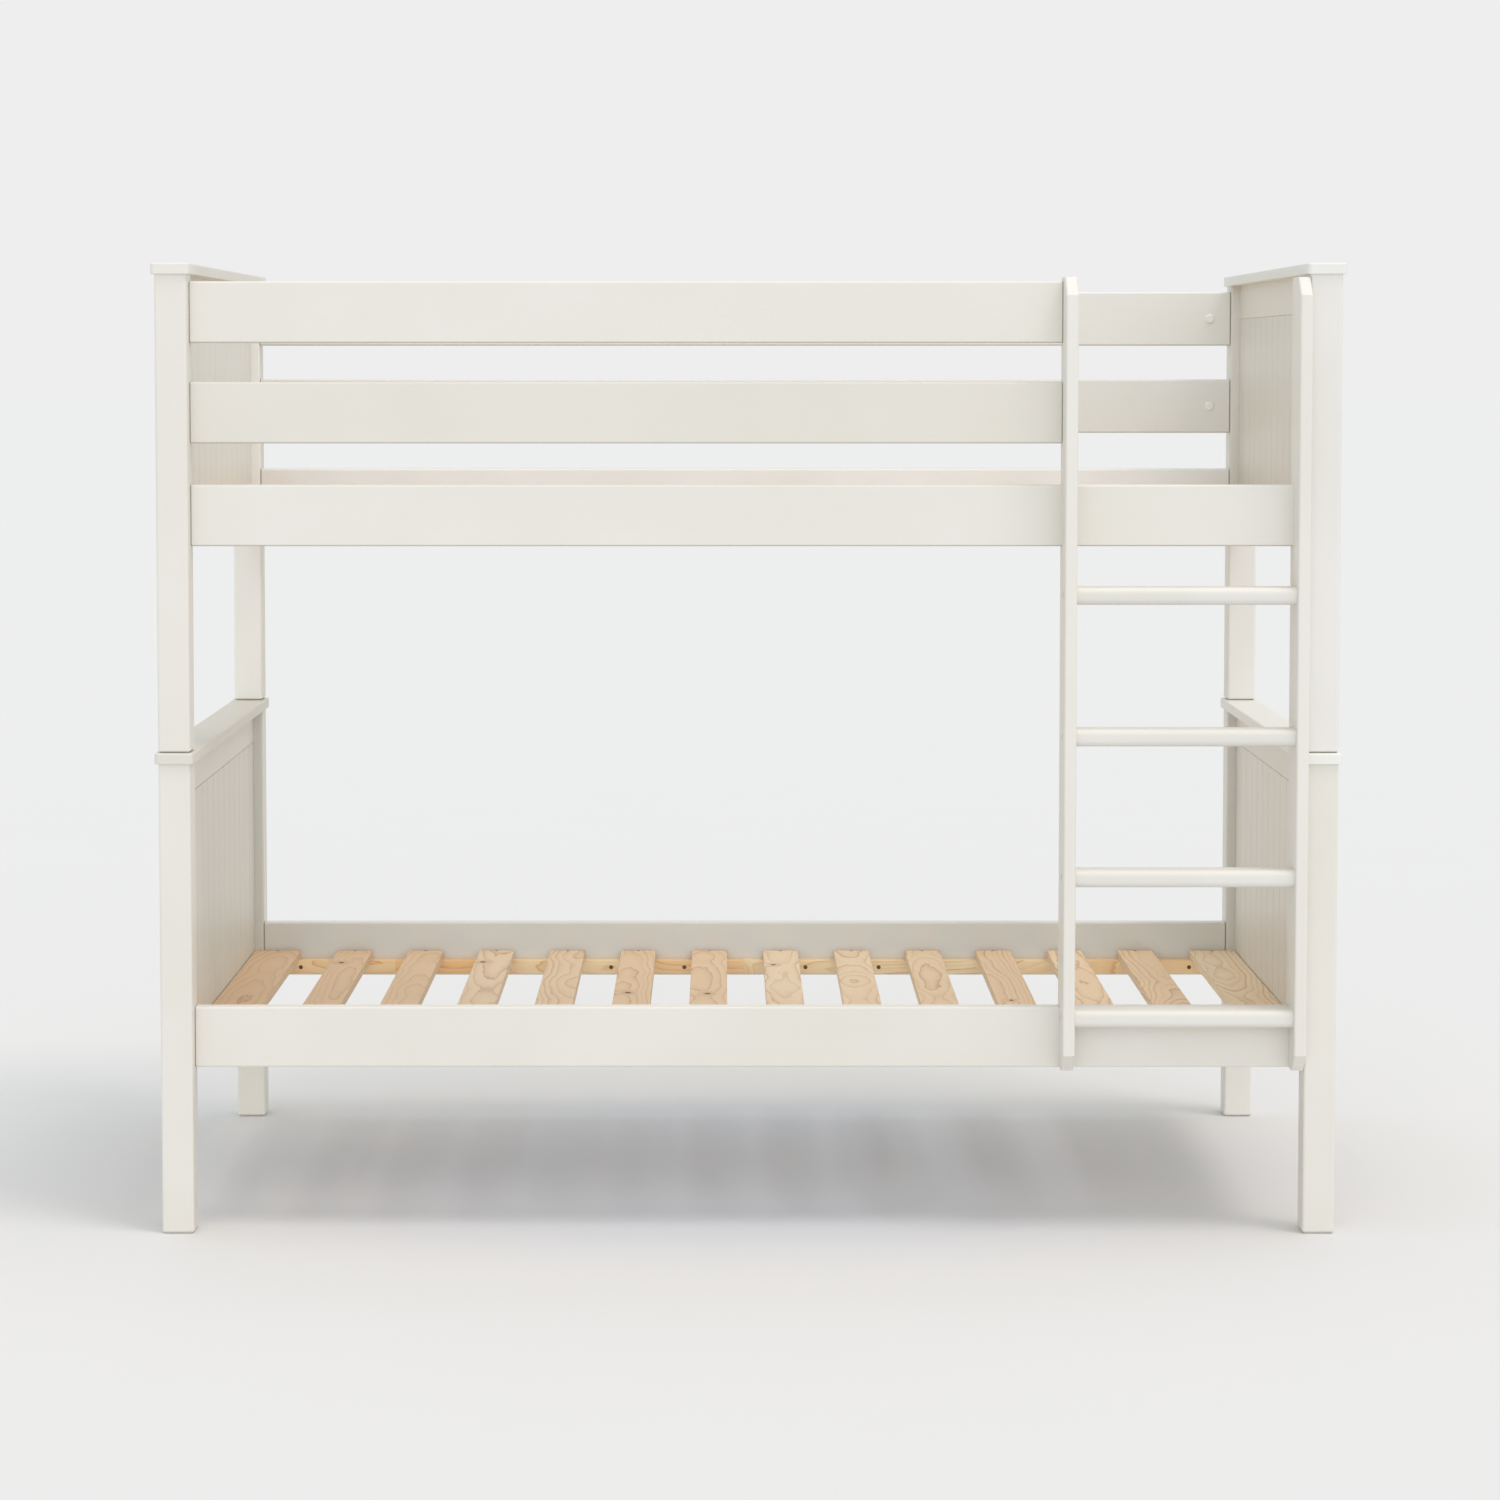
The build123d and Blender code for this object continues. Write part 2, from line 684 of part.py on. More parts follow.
def make_ladder_screws():
    """The screws into the treads, from the upper side rail into the stiles, and from the left
    stile into the front guard rails."""
    screw = headed_screw(screw_head_radius, screw_head_height, screw_radius, screw_length,
                         -screw_recess, 0.8)
    scatter("tread_screws", screw,
            [spot(x, -tread_y, z, (way, 0, 0))
             for z in tread_heights for x, way in ((ladder_left, -1), (ladder_right, 1))])
    scatter("ladder_rail_screws", screw,
            [spot(x, -post_inner_y, z, (0, 1, 0))
             for x in stile_middles for z in ladder_screw_heights()])
    scatter("guard_rail_screws", screw,
            [spot(stile_inner_left, -rail_y, z, (1, 0, 0)) for z in guard_screw_heights()])


# The bed, piece by piece

for level in levels:
    for side_name in sides:
        for face_name in faces:
            make_post(level, side_name, face_name)
        make_cap(level, side_name)
        make_panel_rail(level, side_name, "top")
        make_panel_rail(level, side_name, "bottom")
        make_boards(level, side_name)
    for face_name in faces:
        make_side_rail(level, face_name)
        make_batten(level, face_name)
    make_slats(level)
    make_rail_hardware(level)
    make_dowels(level)
    make_base_screws(level)

for face_name in faces:
    for row in guard_rail_bottoms:
        make_guard_rail(face_name, row)

for side_name in sides:
    make_stile(side_name)
for number, height in enumerate(tread_heights, start=1):
    make_tread(number, height)
make_ladder_screws()

scatter("stacking_pins", stacking_pin(),
        [spot(s * post_x, f * post_y, lower_post_top - pin_in_lower_post, (0, 0, 1))
         for s in sides.values() for f in faces.values()])
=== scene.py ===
import json
import math
import bmesh
import bpy
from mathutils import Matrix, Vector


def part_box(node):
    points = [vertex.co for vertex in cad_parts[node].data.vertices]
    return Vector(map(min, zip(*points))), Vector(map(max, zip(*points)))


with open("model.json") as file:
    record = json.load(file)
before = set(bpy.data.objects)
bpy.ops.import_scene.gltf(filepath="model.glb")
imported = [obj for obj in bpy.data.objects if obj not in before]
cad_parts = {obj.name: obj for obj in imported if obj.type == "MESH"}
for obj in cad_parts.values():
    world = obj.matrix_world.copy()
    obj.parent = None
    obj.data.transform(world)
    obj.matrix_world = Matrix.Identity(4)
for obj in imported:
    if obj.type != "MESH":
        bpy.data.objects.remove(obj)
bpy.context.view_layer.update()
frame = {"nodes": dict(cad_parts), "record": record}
nodes = frame["nodes"]
MM = 1000.0                      # millimetres in a metre
NOISE_SPAN = (0.3, 0.7)          # where most of a noise's values lie


# ---------------------------------------------------------------- node graph helpers

class Graph:
    """A material's node tree, with short ways to make and join nodes."""

    def __init__(self, name):
        self.material = bpy.data.materials.new(name)
        self.material.use_nodes = True
        self.tree = self.material.node_tree
        self.shader = self.tree.nodes["Principled BSDF"]

    def node(self, kind, **props):
        made = self.tree.nodes.new(kind)
        for key, value in props.items():
            setattr(made, key, value)
        return made

    def put(self, value, socket):
        if isinstance(value, bpy.types.NodeSocket):
            self.tree.links.new(value, socket)
        else:
            socket.default_value = value

    def give(self, name, value):
        """Sets or feeds one of the shader's own sockets."""
        self.put(value, self.shader.inputs[name])

    def math(self, operation, *values):
        made = self.node("ShaderNodeMath", operation=operation)
        for value, socket in zip(values, made.inputs):
            self.put(value, socket)
        return made.outputs[0]

    def vector(self, operation, *values):
        made = self.node("ShaderNodeVectorMath", operation=operation)
        for value, socket in zip(values, made.inputs):
            self.put(value, socket)
        return made.outputs[0]

    def combine(self, x, y, z):
        made = self.node("ShaderNodeCombineXYZ")
        for value, socket in zip((x, y, z), made.inputs):
            self.put(value, socket)
        return made.outputs[0]

    def split(self, value):
        made = self.node("ShaderNodeSeparateXYZ")
        self.put(value, made.inputs[0])
        return made.outputs

    def noise(self, vector, scale=1.0, detail=2.0, roughness=0.5, distortion=0.0):
        made = self.node("ShaderNodeTexNoise")
        self.put(vector, made.inputs["Vector"])
        self.put(scale, made.inputs["Scale"])
        self.put(detail, made.inputs["Detail"])
        self.put(roughness, made.inputs["Roughness"])
        self.put(distortion, made.inputs["Distortion"])
        return made.outputs["Fac"]

    def smooth(self, value, low, high, to_low=0.0, to_high=1.0):
        """Goes smoothly from to_low, where value is at most low, to to_high, past high."""
        made = self.node("ShaderNodeMapRange", interpolation_type="SMOOTHSTEP")
        for key, item in (("Value", value), ("From Min", low), ("From Max", high),
                          ("To Min", to_low), ("To Max", to_high)):
            self.put(item, made.inputs[key])
        return made.outputs["Result"]

    def fade(self, value, low, high, strength=1.0):
        """Goes smoothly from strength, where value is at most low, to nothing, past high."""
        return self.smooth(value, low, high, strength, 0.0)

    def spread(self, value, width):
        """Turns a value from 0 to 1 into one from minus half of width to half of it."""
        return self.math("MULTIPLY", self.math("SUBTRACT", value, 0.5), width)

    def hypotenuse(self, a, b):
        return self.math("SQRT", self.math("ADD", self.math("POWER", a, 2.0),
                                           self.math("POWER", b, 2.0)))

    def mix(self, factor, a, b, blend="MIX"):
        """Mixes two colours; 0, 6, 7 and 2 are the node's sockets for colours."""
        made = self.node("ShaderNodeMix", data_type="RGBA", blend_type=blend)
        self.put(factor, made.inputs[0])
        self.put(a, made.inputs[6])
        self.put(b, made.inputs[7])
        return made.outputs[2]

    def bump(self, height, distance, strength=1.0, normal=None):
        """Bumps distance metres high, on top of those in normal."""
        made = self.node("ShaderNodeBump")
        self.put(height, made.inputs["Height"])
        self.put(distance, made.inputs["Distance"])
        self.put(strength, made.inputs["Strength"])
        if normal is not None:
            self.put(normal, made.inputs["Normal"])
        return made.outputs["Normal"]

    def place(self):
        """The surface point in the row frame, in millimetres."""
        where = self.node("ShaderNodeTexCoord").outputs["Object"]
        return self.vector("MULTIPLY", where, (MM, MM, MM))

    def coordinate(self, axis):
        """One of the surface point's coordinates, in millimetres."""
        return self.split(self.place())["XYZ".index(axis)]

    def past(self, axis, start):
        """The millimetres from start, which is in metres, up to the surface point."""
        return self.math("SUBTRACT", self.coordinate(axis), start * MM)

    def short_of(self, axis, end):
        """The millimetres from the surface point up to end, which is in metres."""
        return self.math("SUBTRACT", end * MM, self.coordinate(axis))


def linear(red, green, blue):
    """An sRGB colour, 0 to 255, as a linear one with alpha."""
    made = []
    for value in (red, green, blue):
        v = value / 255
        made.append(v / 12.92 if v <= 0.04045 else ((v + 0.055) / 1.055) ** 2.4)
    return (*made, 1.0)


# ---------------------------------------------------------------- painted shade and painted light on the paint

BOARD_COUNT = 13
# What Graph.fade takes: two distances in millimetres, and a strength
GROOVE_FADE = (0.4, 2.0, 0.5)
RAIL_END_FADE = (0.4, 2.2, 0.9)
FOOT_FADE = (0.4, 3.2, 0.85)
INNER_FACE_FADE = (1.0, 3.5, 1.0)
LOWER_HALF_FADE = (-7.0, 9.0, 1.0)
UNDERSIDE_FADE = (0.6, 2.6)      # with a strength that depends on the rail
UPPER_UNDERSIDE, LOWER_UNDERSIDE = 0.55, 0.0


def board_groove_shade(low, high):
    """Painted shade in the V grooves between the boards of an end panel."""
    def mask(g):
        pitch = (high.y - low.y) * MM / BOARD_COUNT
        steps = g.math("DIVIDE", g.past("Y", low.y), pitch)
        turn = g.math("FRACT", g.math("ADD", steps, 0.5))
        off = g.math("ABSOLUTE", g.math("SUBTRACT", turn, 0.5))
        return g.fade(g.math("MULTIPLY", off, pitch), *GROOVE_FADE)
    return mask


def rail_end_and_underside_shade(low, high, underside):
    """Painted shade in the chamfered ends of a rail, where it meets a post or the ladder, and on
    its underside, as dark as underside says."""
    def mask(g):
        off = g.math("MINIMUM", g.past("X", low.x), g.short_of("X", high.x))
        ends = g.fade(off, *RAIL_END_FADE)
        under = g.fade(g.past("Z", low.z), *UNDERSIDE_FADE, underside)
        return g.math("MAXIMUM", ends, under)
    return mask


def foot_chamfer_shade(low):
    """Painted shade at the chamfered foot of a post."""
    return lambda g: g.fade(g.past("Z", low.z), *FOOT_FADE)


def inner_face(low):
    """The back piece's face towards the front of the bed, for its painted light and shade."""
    return lambda g: g.fade(g.past("Y", low.y), *INNER_FACE_FADE)


def panel_face(low, high):
    """An end panel's board face towards the bed's middle, for its painted light and shade."""
    def mask(g):
        off = g.short_of("X", high.x) if high.x < 0 else g.past("X", low.x)
        return g.fade(off, *INNER_FACE_FADE)
    return mask


def lower_half(low, high):
    """The lower half of a ladder tread, fading out above its middle, for its painted shade."""
    return lambda g: g.fade(g.past("Z", (low.z + high.z) / 2), *LOWER_HALF_FADE)


# ---------------------------------------------------------------- materials

PAINT = linear(230, 226, 217)
PAINT_DEEP = linear(228, 224, 214)
PAINT_LIGHT = linear(232, 228, 220)
PAINT_GRAIN = linear(204, 197, 180)
# painted shade in grooves, at chamfered rail ends and post feet, and under upper rails
CREVICE_SHADE = linear(150, 145, 132)

# Painted light and shade: how much lighter or darker, cooler or warmer, each piece's paint is
# than the rest's, as red, green and blue against it, for how light falls on it. At the back of
# the bed and on the end panels that is only on the face towards its middle, and on a tread only on
# the lower half.
LIGHT_AND_SHADE_TINTS = {
    "front_middle_guard_rail": (0.95, 0.94, 0.92),
    "back_top_guard_rail": (1.04, 1.08, 1.13),
    "back_middle_guard_rail": (1.0, 1.05, 1.11),
    "upper_back_side_rail": (1.12, 1.18, 1.3),
    "lower_back_side_rail": (0.91, 0.96, 1.0),
    "lower_left_cap": (0.91, 0.91, 0.89),
    "lower_right_cap": (1.07, 1.11, 1.14),
    "upper_right_cap": (1.03, 1.05, 1.08),
    "upper_front_right_post": (1.01, 1.02, 1.05),
    "upper_back_left_post": (1.16, 1.19, 1.23),
    "lower_back_left_post": (1.12, 1.12, 1.09),
    "upper_back_right_post": (1.07, 1.10, 1.14),
    "lower_back_right_post": (1.08, 1.10, 1.11),
    "lower_left_panel_boards": (0.95, 0.96, 0.96),
    "upper_left_panel_boards": (1.0, 1.03, 1.06),
    "upper_right_panel_boards": (0.94, 0.95, 0.96),
    "ladder_tread_1": (0.97, 0.98, 1.0),
    "ladder_tread_2": (0.95, 0.96, 0.98),
    "ladder_tread_3": (0.94, 0.95, 0.97),
    "ladder_tread_4": (0.92, 0.93, 0.95),
}
# The same painted light and shade for the back posts from the slats up, beside the end panels
PANEL_LIGHT_AND_SHADE_TINTS = {
    "upper_back_left_post": (1.20, 1.27, 1.36),
    "lower_back_left_post": (0.89, 0.94, 0.97),
    "upper_back_right_post": (1.0, 1.03, 1.08),
    "lower_back_right_post": (0.92, 0.97, 1.02),
}
PANEL_BLEND = 20.0               # millimetres above and below, from one tint to the other

PAINT_STEP = (311.0, 173.0, 97.0)    # millimetres that the noises move by between pieces
# Scales of the paint's noises, per millimetre; the grains' are across and along the grain
LONG_GRAIN = (0.045, 0.0022)
FINE_GRAIN = (0.9, 0.02)
BLOTCH_SCALE = 0.0035
STIPPLE_SCALE = 0.75
STIPPLE_SHARE = 0.4              # in the roughness, against the blotches
# What Graph.smooth takes: from and to in the noise's values, and what those become
LONG_GRAIN_TONE = (0.35, 0.75, 0.0, 0.22)
FINE_GRAIN_TONE = (0.56, 0.74, 0.0, 0.06)
PAINT_ROUGHNESS = (0.3, 1.0, 0.38, 0.5)
# How high the bumps are, in metres
LONG_GRAIN_HEIGHT = 0.0003
FINE_GRAIN_HEIGHT = 0.00012
STIPPLE_HEIGHT = 0.00008


def grain(g, at, axis, scales, **settings):
    """Noise drawn out along an axis."""
    stretch = [scales[0]] * 3
    stretch["XYZ".index(axis)] = scales[1]
    return g.noise(g.vector("MULTIPLY", at, tuple(stretch)), **settings)


def paint(name, along, seed, tint, tinted=None, joints=None, panel=None):
    """Satin stone-white paint on wood, with the grain just showing through along one axis. The
    tint, a painted light and shade, is everywhere or where its mask is high, and panel, a height
    in metres and a second such tint, takes over from it above that height. Painted shade darkens
    it where the crevice mask is high."""
    g = Graph(name)
    at = g.vector("ADD", g.place(), tuple(seed * step for step in PAINT_STEP))
    long_grain = grain(g, at, along, LONG_GRAIN, detail=4.0, roughness=0.6, distortion=0.8)
    fine_grain = grain(g, at, along, FINE_GRAIN, detail=3.0, roughness=0.55)
    blotch = g.noise(at, BLOTCH_SCALE, detail=3.0)
    stipple = g.noise(at, STIPPLE_SCALE, roughness=0.6)
    tone = g.mix(g.smooth(blotch, *NOISE_SPAN), PAINT_DEEP, PAINT_LIGHT)
    tone = g.mix(g.smooth(long_grain, *LONG_GRAIN_TONE), tone, PAINT)
    tone = g.mix(g.smooth(fine_grain, *FINE_GRAIN_TONE), tone, PAINT_GRAIN)
    # painted light and shade, per piece
    if tint:
        shade = (*tint, 1.0)
        if panel:
            height, panel_tint = panel
            rise = g.smooth(g.past("Z", height), -PANEL_BLEND, PANEL_BLEND)
            shade = g.mix(rise, shade, (*panel_tint, 1.0))
        tone = g.mix(tinted(g) if tinted else 1.0, tone, shade, "MULTIPLY")
    # painted shade in grooves, chamfers and under rails
    if joints:
        tone = g.mix(joints(g), tone, CREVICE_SHADE)
    g.give("Base Color", tone)
    uneven = g.math("ADD", blotch, g.math("MULTIPLY", stipple, STIPPLE_SHARE))
    g.give("Roughness", g.smooth(uneven, *PAINT_ROUGHNESS))
    normal = g.bump(long_grain, LONG_GRAIN_HEIGHT, strength=0.3)
    normal = g.bump(fine_grain, FINE_GRAIN_HEIGHT, strength=0.5, normal=normal)
    g.give("Normal", g.bump(stipple, STIPPLE_HEIGHT, strength=0.5, normal=normal))
    g.give("Specular IOR Level", 0.45)
    g.give("Coat Weight", 0.08)
    g.give("Coat Roughness", 0.3)
    return g.material


PINE = (linear(247, 227, 195), linear(238, 208, 170), linear(198, 148, 100), linear(98, 62, 38))
YELLOW_PINE = (linear(254, 242, 210), linear(248, 210, 160), linear(226, 172, 116),
               linear(116, 66, 36))
BEECH = (linear(214, 184, 146), linear(206, 172, 130), linear(184, 146, 102), linear(150, 110, 70))
PINE_RING, BATTEN_RING, BEECH_RING = 6.4, 5.0, 5.0    # widths of a year's ring, in millimetres
# Painted shade and light: darker at the bed's left, lighter at its right; battens also more orange
SLAT_PAINTED_SHADE = ((0.90, 0.87, 0.86, 1.0), (1.03, 1.02, 1.02, 1.0))
BATTEN_TONE_AND_PAINTED_SHADE = ((1.0, 0.9, 0.78, 1.0), (1.0, 0.95, 0.87, 1.0))
SHADES_FROM, SHADES_TO = -950.0, 650.0                # where along the bed, in millimetres
# How far each of these takes the wood's colour to its dark tone, or to its brown for knots
LATE_DARK, HALO_DARK, KNOT_BROWN = 0.78, 0.35, 0.9
LATE_HEIGHT, FIBRE_HEIGHT = 0.00012, 0.00008          # of the bumps, in metres
# What Graph.smooth takes, as for the paint
WASH_TONE = (0.35, 0.7, 0.0, 0.35)
FIBRE_TONE = (0.5, 0.75, 0.0, 0.22)
WOOD_ROUGHNESS = (0.2, 1.6, 0.62, 0.46)

# Scales of the wood's noises across and along a plank, per millimetre
FIBRE_SCALES = (1.6, 0.03)
WASH_SCALES = (0.02, 0.004)
RIPPLE_SCALES = (0.05, 0.008)

PLANK_STEP = 37.0                # how far apart in the noises two planks are
# Knots: there may be one to a cell, and distances are in millimetres
KNOT_CELL_U, KNOT_CELL_V = 95.0, 330.0
KNOT_ALONG = 0.72                # of a distance along the plank, so that knots come out oval
KNOT_WOBBLE, KNOT_WOBBLE_SCALE = 5.0, 0.09
KNOT_LACK = 0.8                  # the share of cells without one
KNOT_RADIUS, KNOT_RADIUS_MORE = 1.5, 4.5
KNOT_FADE, HALO_FADE = (0.75, 1.15), (0.8, 4.5)       # in the knot's radii
# The pith of the log, from the middle of the plank, in millimetres
PITH_ASIDE, PITH_SWAY, PITH_SWAY_SCALE = 80.0, 46.0, 0.0016
PITH_BELOW, PITH_RISE, PITH_RISE_SCALE = 46.0, 74.0, 0.0021
PITH_SLANT = 0.07
# How far the rings are pushed out, in millimetres
RIPPLE_PUSH, KNOT_PUSH = 7.0, 9.0
UNEVEN_SCALE = 1.3               # of the noise that tells one year's ring from the next
# Latewood, for Graph.smooth and Graph.fade in shares of a ring, then how strong a ring is
LATE_SLOW, LATE_SHARP, LATE_END = (0.3, 0.9, 0.0, 0.35), (0.76, 0.92, 0.0, 0.65), (0.95, 1.0)
RING_STRENGTH = (0.25, 0.75, 0.35, 1.0)


def plank_noise(g, u, v, third, scales, **settings):
    """Noise drawn out along a plank."""
    point = g.combine(g.math("MULTIPLY", u, scales[0]), g.math("MULTIPLY", v, scales[1]), third)
    return g.noise(point, **settings)


def plank(g, u, v, w, seed, ring_width):
    """Rings of a log cut by a plank: u across its face, v along it, w through it, in millimetres,
    and seed, which differs between planks. Gives latewood, knot, the halo round the knot and a
    chance that differs between planks, each from 0 to 1."""
    chances = g.node("ShaderNodeTexWhiteNoise", noise_dimensions="1D")
    g.put(seed, chances.inputs["W"])
    first, second, third = g.split(chances.outputs["Color"])
    offset = g.math("MULTIPLY", seed, PLANK_STEP)

    spot = g.combine(g.math("ADD", g.math("DIVIDE", u, KNOT_CELL_U), offset),
                     g.math("ADD", g.math("DIVIDE", v, KNOT_CELL_V), offset), 0.0)
    points = g.node("ShaderNodeTexVoronoi", voronoi_dimensions="2D", feature="F1")
    g.put(spot, points.inputs["Vector"])
    g.put(1.0, points.inputs["Scale"])
    away = g.split(g.vector("SUBTRACT", spot, points.outputs["Position"]))
    distance = g.hypotenuse(g.math("MULTIPLY", away[0], KNOT_CELL_U),
                            g.math("MULTIPLY", away[1], KNOT_CELL_V * KNOT_ALONG))
    wobble = g.spread(g.noise(g.combine(u, v, w), KNOT_WOBBLE_SCALE), KNOT_WOBBLE)
    kind = g.split(points.outputs["Color"])
    present = g.math("GREATER_THAN", kind[0], KNOT_LACK)
    radius = g.math("ADD", g.math("MULTIPLY", kind[1], KNOT_RADIUS_MORE), KNOT_RADIUS)
    radii = g.math("DIVIDE", g.math("ADD", distance, wobble), radius)
    knot = g.math("MULTIPLY", present, g.fade(radii, *KNOT_FADE))
    halo = g.math("MULTIPLY", present, g.fade(radii, *HALO_FADE))

    # the pith runs near the plank, wandering and at a slant, so its rings cut into long arches
    sway = g.noise(g.combine(offset, g.math("MULTIPLY", v, PITH_SWAY_SCALE), second))
    rise = g.noise(g.combine(g.math("MULTIPLY", v, PITH_RISE_SCALE), offset, first),
                   roughness=0.55)
    aside = g.math("ADD", g.spread(first, PITH_ASIDE), g.spread(sway, PITH_SWAY))
    below = g.math("ADD", g.math("MULTIPLY", second, PITH_BELOW),
                   g.math("MULTIPLY", rise, PITH_RISE))
    slant = g.math("MULTIPLY", v, g.spread(third, PITH_SLANT))
    reach = g.hypotenuse(g.math("SUBTRACT", u, aside),
                         g.math("ADD", g.math("ADD", w, below), slant))
    ripple = plank_noise(g, u, v, offset, RIPPLE_SCALES, detail=3.0, roughness=0.55)
    reach = g.math("ADD", reach, g.math("MULTIPLY", ripple, RIPPLE_PUSH))
    reach = g.math("ADD", reach, g.math("MULTIPLY", halo, KNOT_PUSH))

    # each ring darkens slowly to its outer edge and starts pale again, some more than others
    ring = g.math("DIVIDE", reach, ring_width)
    turn = g.math("FRACT", ring)
    uneven = g.noise(g.combine(g.math("FLOOR", ring), offset, 0.0), UNEVEN_SCALE, detail=0.0)
    late = g.math("ADD", g.smooth(turn, *LATE_SLOW), g.smooth(turn, *LATE_SHARP))
    late = g.math("MULTIPLY", late, g.fade(turn, *LATE_END))
    late = g.math("MULTIPLY", late, g.smooth(uneven, *RING_STRENGTH))
    return late, knot, halo, third


def pine(name, cells, tones, ring_width, painted_shade=None):
    """Planed wood. cells(g) gives u, v, w and seed for the planks of the node. Its tones are
    multiplied by a painted shade and light across the bed, by the first of the pair at the left of
    the bed and by the second at the right."""
    g = Graph(name)
    u, v, w, seed = cells(g)
    late, knot, halo, chance = plank(g, u, v, w, seed, ring_width)
    pale, warm, dark, brown = tones
    fibre = plank_noise(g, u, v, g.math("MULTIPLY", w, FIBRE_SCALES[0]), FIBRE_SCALES,
                        detail=3.0, roughness=0.6)
    wash = plank_noise(g, u, v, seed, WASH_SCALES)
    ground = g.mix(chance, pale, warm)
    ground = g.mix(g.smooth(wash, *WASH_TONE), ground, warm)
    colour = g.mix(g.math("MULTIPLY", late, LATE_DARK), ground, dark)
    colour = g.mix(g.smooth(fibre, *FIBRE_TONE), colour, dark)
    colour = g.mix(g.math("MULTIPLY", halo, HALO_DARK), colour, dark)
    colour = g.mix(g.math("MULTIPLY", knot, KNOT_BROWN), colour, brown)
    # painted shade and light across the bed
    if painted_shade:
        across = g.smooth(g.coordinate("X"), SHADES_FROM, SHADES_TO)
        colour = g.mix(1.0, colour, g.mix(across, *painted_shade), "MULTIPLY")
    g.give("Base Color", colour)
    g.give("Roughness", g.smooth(g.math("ADD", late, fibre), *WOOD_ROUGHNESS))
    normal = g.bump(late, LATE_HEIGHT, strength=0.6)
    g.give("Normal", g.bump(fibre, FIBRE_HEIGHT, strength=0.6, normal=normal))
    g.give("Specular IOR Level", 0.35)
    return g.material


ZINC, ZINC_ROUGHNESS = linear(200, 202, 204), 0.34
BRONZE, BRONZE_ROUGHNESS = linear(124, 96, 68), 0.42
MOTTLE_SCALE = 0.35
MOTTLE_DARK = 0.8                # how dark the mottling is against the metal's colour
SCRATCH_SCALES = (4.0, 0.3, 3.0)
SCRATCH_HEIGHT = 0.00003         # metres, as is the plastic's
SCRATCH_LESS, SCRATCH_MORE = 0.06, 0.1    # what the scratches do to the roughness


def metal(name, colour, roughness):
    """Plated or passivated steel, lightly mottled and scratched."""
    g = Graph(name)
    at = g.place()
    mottle = g.noise(at, MOTTLE_SCALE, detail=3.0, roughness=0.6)
    scratch = g.noise(g.vector("MULTIPLY", at, SCRATCH_SCALES))
    deep = (*(c * MOTTLE_DARK for c in colour[:3]), 1.0)
    smoothest, roughest = roughness - SCRATCH_LESS, roughness + SCRATCH_MORE
    g.give("Base Color", g.mix(g.smooth(mottle, *NOISE_SPAN), deep, colour))
    g.give("Roughness", g.smooth(scratch, *NOISE_SPAN, smoothest, roughest))
    g.give("Normal", g.bump(scratch, SCRATCH_HEIGHT, strength=0.6))
    g.give("Metallic", 1.0)
    return g.material


PLASTIC_DEEP, PLASTIC = linear(236, 236, 233), linear(243, 243, 241)
CLOUD_SCALE, GRIT_SCALE, GRIT_HEIGHT = 0.06, 2.2, 0.00003
PLASTIC_ROUGHNESS = (0.32, 0.42)


def plastic(name):
    """Moulded white plastic with a fine texture."""
    g = Graph(name)
    at = g.place()
    cloud = g.noise(at, CLOUD_SCALE)
    grit = g.noise(at, GRIT_SCALE)
    g.give("Base Color", g.mix(g.smooth(cloud, *NOISE_SPAN), PLASTIC_DEEP, PLASTIC))
    g.give("Roughness", g.smooth(grit, *NOISE_SPAN, *PLASTIC_ROUGHNESS))
    g.give("Normal", g.bump(grit, GRIT_HEIGHT, strength=0.5))
    return g.material


# ---------------------------------------------------------------- which plank a point is in

SLAT_PITCH = 140.7               # millimetres, as are the battens' finger joints
FINGER_JOINT, FINGER_JOINT_PITCH = 227.0, 230.0
SLAT_SEED_STEP = 7.0
DOWEL_SEED = 3.0


def slat_cells(first_seed, top):
    """Slats lie across the bed, one to each pitch along X, with their tops at top."""
    def cells(g):
        x, y, z = g.split(g.place())
        steps = g.math("DIVIDE", x, SLAT_PITCH)
        u = g.spread(g.math("FRACT", steps), SLAT_PITCH)
        return u, y, g.math("SUBTRACT", z, top), g.math("ADD", g.math("FLOOR", steps), first_seed)
    return cells


def batten_cells(first_seed, edge, middle):
    """A batten runs along X, finger-jointed from short lengths, and shows the face that is towards
    the middle of the bed."""
    def cells(g):
        x, y, z = g.split(g.place())
        steps = g.math("DIVIDE", g.math("SUBTRACT", x, FINGER_JOINT), FINGER_JOINT_PITCH)
        return (g.math("SUBTRACT", z, middle), x, g.math("SUBTRACT", y, edge),
                g.math("ADD", g.math("FLOOR", steps), first_seed))
    return cells


def dowel_cells(g):
    """The dowels lie along X."""
    x, y, z = g.split(g.place())
    return y, x, z, DOWEL_SEED


# ---------------------------------------------------------------- the nodes' materials

def long_axis(low, high):
    size = high - low
    return "XYZ"[max(range(3), key=lambda i: size[i])]


